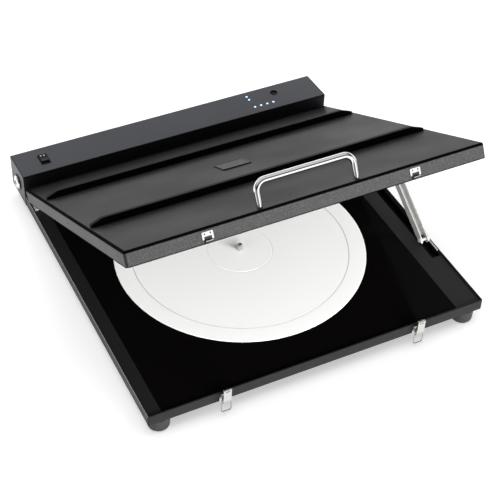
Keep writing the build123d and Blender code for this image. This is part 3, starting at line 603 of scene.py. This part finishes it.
# ---- Power switch, push button and lamps ----
# Moulded black rocker switch with two white dots, a round push button in a sleeve, and seven
# small clear lamps, six of them lit. All sit in holes in the housing's sloping top.
black_moulding = finish("black_moulding", (0.004, 0.004, 0.0045), 0.34, Specular_IOR_Level=0.10)
tinted(black_moulding, pattern(black_moulding, 900.0, 3.0), (0.003, 0.003, 0.0034),
       (0.006, 0.006, 0.0065))
polished(black_moulding, pattern(black_moulding, 200.0, 4.0), 0.28, 0.44)
raised(black_moulding, pattern(black_moulding, 2200.0, 2.0), 0.00002, 0.5)
for node in ("switch_frame", "rocker", "button_frame", "inlet_core"):
    dress(node, black_moulding)
dot_white = finish("dot_white", (0.9, 0.9, 0.9), 0.5)
tinted(dot_white, pattern(dot_white, 1500.0, 2.0), (0.88, 0.88, 0.88), (0.94, 0.94, 0.94))
# the dots lie on the rear half of the rocker, which is tilted about its pin
tilt = math.radians(6.0)
panel_back = np.array([0.0, math.cos(panel_fall), -math.sin(panel_fall)])
key_up = panel_up * math.cos(tilt) + panel_back * math.sin(tilt)
key_back = panel_back * math.cos(tilt) - panel_up * math.sin(tilt)
key_at, pin_depth = (-184.4, 439.5), 3.5
key_pin = on_panel(*key_at) - pin_depth * panel_up
dot_apart, dot_behind, dot_above = 2.2, 6.6, 5.42
dot = [(0.02, -0.3), (1.2, -0.3), (1.25, 0.0), (1.15, 0.07), (0.02, 0.08)]
scattered("rocker_dots", turned(dot, axis=key_up, steps=16),
          [key_pin + (x, 0.0, 0.0) + dot_behind * key_back + dot_above * key_up
           for x in (-dot_apart, dot_apart)], dot_white, "rocker")

button_at = (159.6, 448.0)
button_profile = [(0.02, -5.2), (3.9, -5.2), (4.25, -4.9), (4.25, -1.2), (4.1, -0.8),
                  (3.7, -0.6), (2.8, -0.72), (1.4, -0.86), (0.02, -0.9)]
add("push_button", turned(button_profile, on_panel(*button_at), panel_up, steps=40),
    black_moulding, "start_button", ["start_button"], 40.0)

lit_lens = finish("lit_lens", (0.55, 0.75, 1.0), 0.15, Emission_Color=(0.35, 0.62, 1.0, 1.0),
                  Emission_Strength=1.6)
tinted(lit_lens, pattern(lit_lens, 500.0, 1.0), (0.45, 0.68, 1.0), (0.8, 0.92, 1.0))
dull_lens = finish("dull_lens", (0.10, 0.11, 0.13), 0.12, Transmission_Weight=0.3)
tinted(dull_lens, pattern(dull_lens, 500.0, 1.0), (0.07, 0.08, 0.10), (0.14, 0.15, 0.17))
lens_profile = [(0.02, -4.0), (1.4, -4.0), (1.5, -3.8), (1.5, 0.0), (1.46, 0.16), (1.3, 0.36),
                (1.0, 0.5), (0.5, 0.585), (0.02, 0.6)]
# a row of four lamps, and a column of three behind the first
lamp_x, lamp_y, lamp_pitch, unlit_lamp = 120.3, 427.6, 9.5, 5
lamp_places = [(lamp_x + lamp_pitch * i, lamp_y) for i in range(4)]
lamp_places += [(lamp_x, y) for y in (437.3, 446.8, 454.7)]
for number, (x, y) in enumerate(lamp_places, 1):
    lens, lens_slot = (dull_lens, "dark_lens") if number == unlit_lamp else (lit_lens, "lamp_lens")
    add(f"lens_{number}", turned(lens_profile, on_panel(x, y), panel_up, steps=24), lens, "base",
        [f"lamp_{number}"], 45.0)

# ---- Inlet ----
# A chromed domed bush through the left side plate, on a black washer, round a dark moulded insert
# with a hole for the supply lead's plug.
inlet_at = (-cover_half, 438.0, 41.3)
inlet_profile = [(6.0, -12.0), (6.0, -0.5), (3.3, -0.5), (3.2, 3.6), (3.35, 3.95), (3.8, 4.1),
                 (5.4, 4.0), (7.0, 3.65), (8.2, 3.0), (8.85, 2.2), (9.0, 1.5), (8.85, 1.05),
                 (8.0, 1.0), (8.0, -12.0)]
add("inlet_ring", turned(inlet_profile, inlet_at, leftwards, rearwards, 56), chrome, "base",
    ["inlet_bush"], 40.0, along=True)
washer_profile = [(8.0, -0.05), (8.0, 1.0), (10.7, 1.0), (11.0, 0.75), (11.0, -0.05)]
add("inlet_washer", turned(washer_profile, inlet_at, leftwards, rearwards, 56), black_moulding,
    "base", crease=40.0, along=True)

# ---- Lid ----
# A shallow cover folded from sheet steel, with rounded edges and corners, powder coated. It is
# hinged at the back and stands open on the stay.
hinge_at = np.array([0.0, 399.6, 44.55])
lid_open = math.radians(28.2)


def opened(points):
    """Points of the closed lid turned up about its hinge to where it stands open: seen from the
    side, each point's way from the hinge is turned by the open angle."""
    x, y, z = np.moveaxis(np.asarray(points, float) - hinge_at, -1, 0)
    c, s = math.cos(lid_open), math.sin(lid_open)
    return np.stack([x, y * c + z * s, z * c - y * s], axis=-1) + hinge_at


def open_direction(direction):
    """A direction on the closed lid, turned the same way."""
    return opened(np.asarray(direction, float) + hinge_at) - hinge_at


lid_top, lid_low, lid_half, lid_front, lid_rear, lid_edge = 54.2, 35.8, 222.0, 0.3, 408.0, 2.5
wall_skin = 0.2
lid_paint = powder_coat("lid_paint", (0.011, 0.011, 0.0112), (0.024, 0.024, 0.0243), 0.38,
                        specular=0.05)


def beyond_on_lid(direction, point, soft=0.4):
    """1 on the lid's paint further along a direction than a point, both given on the closed lid."""
    return beyond(lid_paint, open_direction(direction), opened(point), soft)


# painted light: the walls are painted paler than the top, for the floor's light they catch, and the
# front one has a speckle of painted glints
front_wall = beyond_on_lid(frontwards, (0, lid_front + wall_skin, lid_top), 0.2)
side_walls = at_sides(lid_paint, lid_half - wall_skin, 0.2)
shaded(lid_paint, side_walls, (0.086, 0.086, 0.0868))
shaded(lid_paint, front_wall, (0.034, 0.034, 0.0343))
glint_speckle = ramped(lid_paint.node_tree, pattern(lid_paint, 800.0, 2.0), 0.48, 0.62)
shaded(lid_paint, joined(lid_paint, "MULTIPLY", front_wall, glint_speckle), (0.058, 0.058, 0.0586))
# painted dark reflection in the folds between the top and the four walls, and painted shade along
# the walls' lower edges; both are also duller
outside = joined(lid_paint, "MAXIMUM", at_sides(lid_paint, lid_half - lid_edge),
                 beyond_on_lid(frontwards, (0, lid_front + lid_edge, lid_top)),
                 beyond_on_lid(rearwards, (0, lid_rear - lid_edge, lid_top)))
lid_fold_shade = joined(lid_paint, "MINIMUM", outside,
                   beyond_on_lid(upwards, (0, 0, lid_top - lid_edge), 0.6))
wall_edge_shade = joined(lid_paint, "MINIMUM", joined(lid_paint, "MAXIMUM", front_wall, side_walls),
                   beyond_on_lid(downwards, (0, 0, lid_low + 0.9), 0.3))
lid_shade = joined(lid_paint, "MAXIMUM", lid_fold_shade, wall_edge_shade)
shaded(lid_paint, lid_shade, (0.0012, 0.0012, 0.0012))
dulled(lid_paint, lid_shade, 0.95)
dress("lid_shell", lid_paint)
lid_screw_height, lid_screw_rows = 44.0, (26.0, 214.0)
for side_name, sx in sides:
    scattered(f"lid_screws_{side_name}",
              turned(flush_head, axis=open_direction((sx, 0, 0)), start=rearwards),
              opened([(sx * lid_half, y, lid_screw_height) for y in lid_screw_rows]),
              screw_black, "lid")

# ---- Ribs ----
# Two solid bars of black painted steel across the lid, which keep its top flat. Their ends are
# bevelled down, and screws from inside the lid hold them.
rib_black = powder_coat("rib_black", (0.0012, 0.0011, 0.0011), (0.0021, 0.0019, 0.0019), 0.55,
                        0.00004, 0.05)
facing_front = (rightwards, upwards, frontwards)
rib_half, rib_flat, rib_height, rib_end = 217.0, 202.0, 8.0, 3.0
rib_corners = np.array([(-rib_half, 0.0), (rib_half, 0.0), (rib_half, rib_end),
                        (rib_flat, rib_height), (-rib_flat, rib_height), (-rib_half, rib_end)])


def rib_outline(inset):
    """The bar from the front, drawn in by the inset, with its upper corners a little round. The
    ends of its top move in by 0.35 of the inset, since the bevel there is shallow."""
    x, z = rib_corners.T
    sideways = inset * np.where(z > rib_end, 0.35, 1.0)
    drawn = np.stack([x - np.sign(x) * sideways, np.clip(z, inset, rib_height - inset)], axis=-1)
    return eased(drawn, (0.05, 0.05, 1.2, 3.0, 3.0, 1.2), 5)


rib_profile = [(0.6, 0.0), (0.15, 0.15), (0.0, 0.6), (0.0, rib_height - 0.6),
               (0.15, rib_height - 0.15), (0.6, rib_height)]
for rib_name, back in (("front", 134.0), ("rear", 321.0)):
    bar = plate(rib_outline, rib_profile, facing_front, (0.0, back, lid_top))
    add(f"bar_{rib_name}", opened(bar), rib_black, "lid", [f"rib_{rib_name}"],
        40.0)

# ---- Bare plate on the lid ----
# A small dark brushed metal plate with a raised border and no marking, glued to the middle of the
# lid between the two ribs.
plate_metal = finish("plate_metal", (0.03, 0.03, 0.028), 0.34, 0.15, Specular_IOR_Level=0.08)
tinted(plate_metal, pattern(plate_metal, 240.0, 4.0, (1, 16, 1)), (0.012, 0.012, 0.0111),
       (0.028, 0.028, 0.026))
polished(plate_metal, pattern(plate_metal, 500.0, 3.0, (1, 20, 1)), 0.28, 0.42)
raised(plate_metal, pattern(plate_metal, 700.0, 2.0, (1, 24, 1)), 0.00003, 0.4)
plate_half, plate_front, plate_rear = 19.0, 209.0, 243.0
plate_profile = [(0.0, 0.0), (0.0, 0.9), (0.12, 1.15), (0.4, 1.25), (1.3, 1.25), (1.55, 1.15),
                 (1.75, 0.9)]


def rectangle(x0, x1, y0, y1, radius, steps=5):
    """Outline of a rectangle with round corners, as a function of how far it is drawn in."""
    def drawn_in(inset):
        a, b, c, d = x0 + inset, x1 - inset, y0 + inset, y1 - inset
        return eased([(a, c), (b, c), (b, d), (a, d)], max(radius - inset, 0.02), steps)
    return drawn_in


badge = plate(rectangle(-plate_half, plate_half, plate_front, plate_rear, 1.0), plate_profile,
              origin=(0, 0, lid_top))
add("bare_plate", opened(badge), plate_metal, "lid", ["badge_plate"], 30.0)

# ---- Handle ----
# A chromed steel rod bent twice. Its ends are turned down to studs, which go through the lid's skin
# as far as a shoulder and are held by hexagon nuts underneath.


def carried(section, path, side):
    """Rings of a section carried along a flat path, each in the plane that halves the turn from one
    run of the path to the next; side is the normal of the path's plane."""
    runs = np.diff(path, axis=0)
    runs /= np.linalg.norm(runs, axis=1, keepdims=True)
    forward = np.concatenate([runs[:1], runs[:-1] + runs[1:], runs[-1:]])
    forward /= np.linalg.norm(forward, axis=1, keepdims=True)
    s = np.asarray(side, float) / np.linalg.norm(side)
    up = np.cross(forward, s)
    section = np.asarray(section, float)
    return path[:, None] + section[None, :, :1] * s + section[None, :, 1:] * up[:, None]


def circle(radius, steps):
    """Points once round a circle: the radius times the cosine and the sine of even angles."""
    angle = np.linspace(0, 2 * np.pi, steps, endpoint=False)
    return radius * np.stack([np.cos(angle), np.sin(angle)], axis=-1)


rod_radius, rod_half, rod_y, rod_rise, rod_bend = 3.75, 60.0, 10.5, 33.0, 12.0
rod_top = lid_top + rod_rise - rod_radius
rod_line = eased([(-rod_half, rod_y, lid_top), (-rod_half, rod_y, rod_top),
                  (rod_half, rod_y, rod_top), (rod_half, rod_y, lid_top)],
                 rod_bend, 16, closed=False)
add("bent_rod", opened(carried(circle(rod_radius, 32), rod_line, rearwards)), chrome, "lid",
    ["handle"])
stud_profile = [(0.02, -8.4), (2.4, -8.4), (2.5, -8.2), (2.5, 0.0), (rod_radius, 0.0)]
for side_name, sx in sides:
    stud = turned(stud_profile, (sx * rod_half, rod_y, lid_top), steps=24)
    add(f"rod_stud_{side_name}", opened(stud), bright_steel, "lid")
    dress(f"handle_nut_{side_name}", bright_steel)

# ---- Hinges ----
# Zinc plated steel leaf hinges at both ends of the lid's rear edge. Each has a foot plate with two
# ears on the tray, a leaf with a knuckle on the lid, and a pin through them.
zinc = finish("zinc", (0.42, 0.42, 0.41), 0.42, 0.35)
tinted(zinc, pattern(zinc, 300.0, 5.0), (0.36, 0.36, 0.35), (0.48, 0.48, 0.47))
polished(zinc, pattern(zinc, 500.0, 3.0), 0.28, 0.45)
for side_name, sx in sides:
    for node in ("hinge_bracket", "hinge_pin", "hinge_leaf"):
        dress(f"{node}_{side_name}", zinc)

# ---- Stay ----
# A folded steel channel that turns on a headed pin in a black bracket in the slot. A nylon glide
# on the lid's hanger runs in it. The bracket is pale along its upper edge, above the tray's rim.
stay_steel = finish("stay_steel", (0.55, 0.545, 0.53), 0.40, 0.35)
tinted(stay_steel, pattern(stay_steel, 240.0, 4.0), (0.50, 0.495, 0.48), (0.60, 0.595, 0.58))
polished(stay_steel, pattern(stay_steel, 260.0, 4.0, (8, 1, 1)), 0.32, 0.48)
raised(stay_steel, pattern(stay_steel, 700.0, 2.0, (10, 1, 1)), 0.00003, 0.35)
for node in ("stay_arm", "stay_pivot", "stay_hanger"):
    dress(node, stay_steel)
bracket_paint = powder_coat("bracket_paint", (0.0012, 0.0012, 0.0012),
                            (0.0022, 0.0022, 0.0022), 0.5, 0.00003)
shaded(bracket_paint, beyond(bracket_paint, upwards, (0, 0, tray_rim + 0.7)),
       (0.46, 0.455, 0.44))
dress("stay_bracket", bracket_paint)
nylon = finish("nylon", (0.70, 0.69, 0.65), 0.42, Subsurface_Weight=0.1)
tinted(nylon, pattern(nylon, 400.0, 3.0), (0.66, 0.65, 0.61), (0.74, 0.73, 0.69))
dress("stay_glide", nylon)

# ---- Latches ----
# Nickel plated draw latches: a riveted bracket and lever on the tray's front, a wire bail that
# turns in the lever, and a strike with a rolled hook on the lid.
nickel = finish("nickel", (0.72, 0.71, 0.69), 0.17, 1.0)
polished(nickel, pattern(nickel, 300.0, 4.0), 0.12, 0.26)
raised(nickel, pattern(nickel, 700.0, 2.0), 0.000015, 0.3)
# a darker copy of the nickel for the bail wire: painted shade
shaded_wire_nickel = finish("shaded_wire_nickel", (0.48, 0.47, 0.45), 0.20, 1.0)
polished(shaded_wire_nickel, pattern(shaded_wire_nickel, 300.0, 4.0), 0.14, 0.28)
# dark steel for the strike's rivets, and on the strike's hook a painted shade in its hollow
dark_steel_and_shade = finish("dark_steel_and_shade", (0.05, 0.05, 0.048), 0.30, 0.8)
polished(dark_steel_and_shade, pattern(dark_steel_and_shade, 500.0, 3.0), 0.24, 0.38)


def across(radius, half, x, y, z, steps):
    """Rings of a straight rod that lies across, with its ends half a length to either side of x."""
    return carried(circle(radius, steps), np.array([(x - half, y, z), (x + half, y, z)]), rearwards)


latch_x = 128.0
strike_outline = rectangle(-6.75, 6.75, -14.0, -4.5, 1.2)
strike_profile = [(0.25, 0.0), (0.0, 0.15), (0.0, 0.8), (0.1, 0.95), (0.25, 1.0)]
# the hook from the side: down from the strike, half a turn out and under, and up to its lip
hook_back, hook_lip, lip_height = -0.75, -3.85, lid_top - 14.2
curl_y, curl_height, curl_radius = -2.0, lid_top - 15.4, 1.85
curl = np.linspace(0.0, np.pi, 13)[1:]
hook_curl = np.stack([np.zeros(len(curl)), curl_y + curl_radius * np.cos(curl),
                      curl_height - curl_radius * np.sin(curl)], axis=-1)
hook_line = np.concatenate([[(0.0, hook_back, lid_top - 10.0), (0.0, hook_back, lid_top - 14.4)],
                            hook_curl, [(0.0, hook_lip, lip_height)]])
lip_radius, lip_half = 0.55, 4.5
tongue = rectangle(-4.4, 4.4, -0.4, 0.4, 0.2, 3)(0.0)
# the bail from the front: two short ends in the lever, and a loop as wide as the lever's cheeks
bail_y, bail_pin, bail_wide, bail_top, bail_drop = -5.5, 4.0, 6.05, tray_rim - 11.5 + 3.4, 19.98
bail_radius = 0.75
bail_line = [(-bail_pin, 0.0), (-bail_wide, 0.0), (-bail_wide, -bail_drop),
             (bail_wide, -bail_drop), (bail_wide, 0.0), (bail_pin, 0.0)]
rivet = [(0.014, -0.21), (0.7, -0.21), (0.875, 0.0), (0.84, 0.175), (0.665, 0.35), (0.35, 0.434),
         (0.014, 0.455)]
rivet_apart, rivet_y, rivet_z = 3.4, -0.7, lid_top - 6.9
roll_y, roll_z, roll_radius, roll_half = -7.85, 43.15, 1.35, 5.1
for side_name, sx in sides:
    x = sx * latch_x
    for node in ("latch_bracket", "latch_pin", "lever"):
        dress(f"{node}_{side_name}", nickel)
    add(f"lever_roll_{side_name}", across(roll_radius, roll_half, x, roll_y, roll_z, 24), nickel,
        f"lever_{side_name}")
    strike = plate(strike_outline, strike_profile, facing_front, (x, lid_front, lid_top))
    add(f"strike_plate_{side_name}", opened(strike), nickel, "lid", [f"strike_{side_name}"],
        40.0)
    # the hook is dark steel, not nickel: painted shade in its shadowed hollow
    hook = carried(tongue, hook_line + (x, 0.0, 0.0), rightwards)
    add(f"strike_hook_{side_name}", opened(hook), dark_steel_and_shade, "lid", crease=40.0)
    lip = across(lip_radius, lip_half, x, hook_lip, lip_height, 12)
    add(f"strike_lip_{side_name}", opened(lip), nickel, "lid")
    loop = eased([(x + dx, bail_y, bail_top + dz) for dx, dz in bail_line],
                 (0, 0.9, 2.2, 2.2, 0.9, 0), 8, closed=False)
    add(f"wire_loop_{side_name}", carried(circle(bail_radius, 16), loop, rearwards),
        shaded_wire_nickel, f"bail_{side_name}", [f"bail_{side_name}"])
    scattered(f"strike_rivets_{side_name}", turned(rivet, axis=open_direction(frontwards)),
              opened([(x + dx, rivet_y, rivet_z) for dx in (-rivet_apart, rivet_apart)]),
              dark_steel_and_shade, "lid")

# ---- Upper pressing plate ----
# A plate of black anodised aluminium inside the lid, with a recess for the record's label and room
# for the spindle. Two fibre boards lie between it and the lid's skin.
anodised = finish("anodised", (0.008, 0.008, 0.0085), 0.40, 0.5, Specular_IOR_Level=0.2)
tinted(anodised, pattern(anodised, 60.0, 4.0, (1, 8, 1)), (0.006, 0.006, 0.0065),
       (0.012, 0.012, 0.0125))
polished(anodised, pattern(anodised, 400.0, 3.0, (1, 12, 1)), 0.34, 0.50)
dress("platen", anodised)
